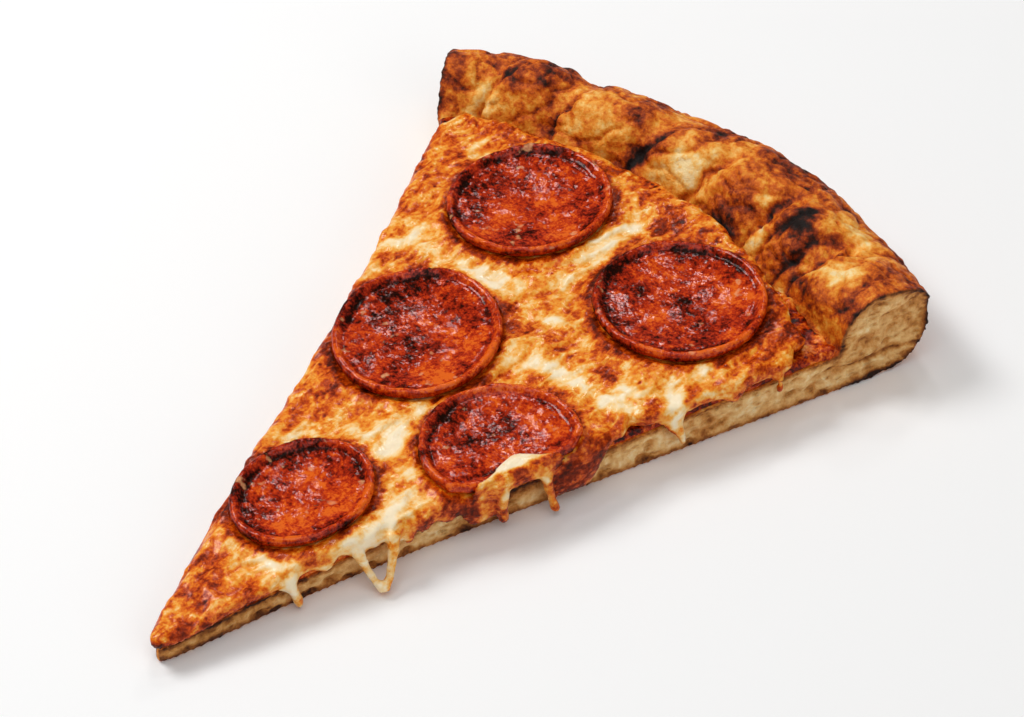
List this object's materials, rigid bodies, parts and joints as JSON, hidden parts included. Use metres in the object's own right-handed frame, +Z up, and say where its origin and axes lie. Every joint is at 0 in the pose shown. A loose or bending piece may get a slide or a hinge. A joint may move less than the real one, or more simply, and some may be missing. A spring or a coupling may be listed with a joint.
{
  "type": "pepperoni pizza slice",
  "caption": "Triangular slice of baked pizza with a puffed rim, sauce, melted cheese that drips over its cut sides, and round pepperoni slices on top.",
  "frame": {"origin": "on the flat underside, on the slice's middle line, 105 mm from the point where its two cuts would meet", "axes": "+Y from the tip towards the rim, +Z up out of the topping, +X to the right of someone who looks from the tip towards the rim"},
  "size_m": [0.1399, 0.2016, 0.0246],
  "materials": {
    "crust": "baked, browned and blistered, with pale crumb on the cut sides",
    "sauce": "wet",
    "cheese": "melted, oily, browned in places",
    "pepperoni": "oily"
  },
  "bodies": {
    "root": {"dough": "crust", "sauce": "sauce", "cheese": "cheese", "pepperoni_1": "pepperoni", "pepperoni_2": "pepperoni", "pepperoni_3": "pepperoni", "pepperoni_4": "pepperoni", "pepperoni_5": "pepperoni"}
  },
  "joints": []
}
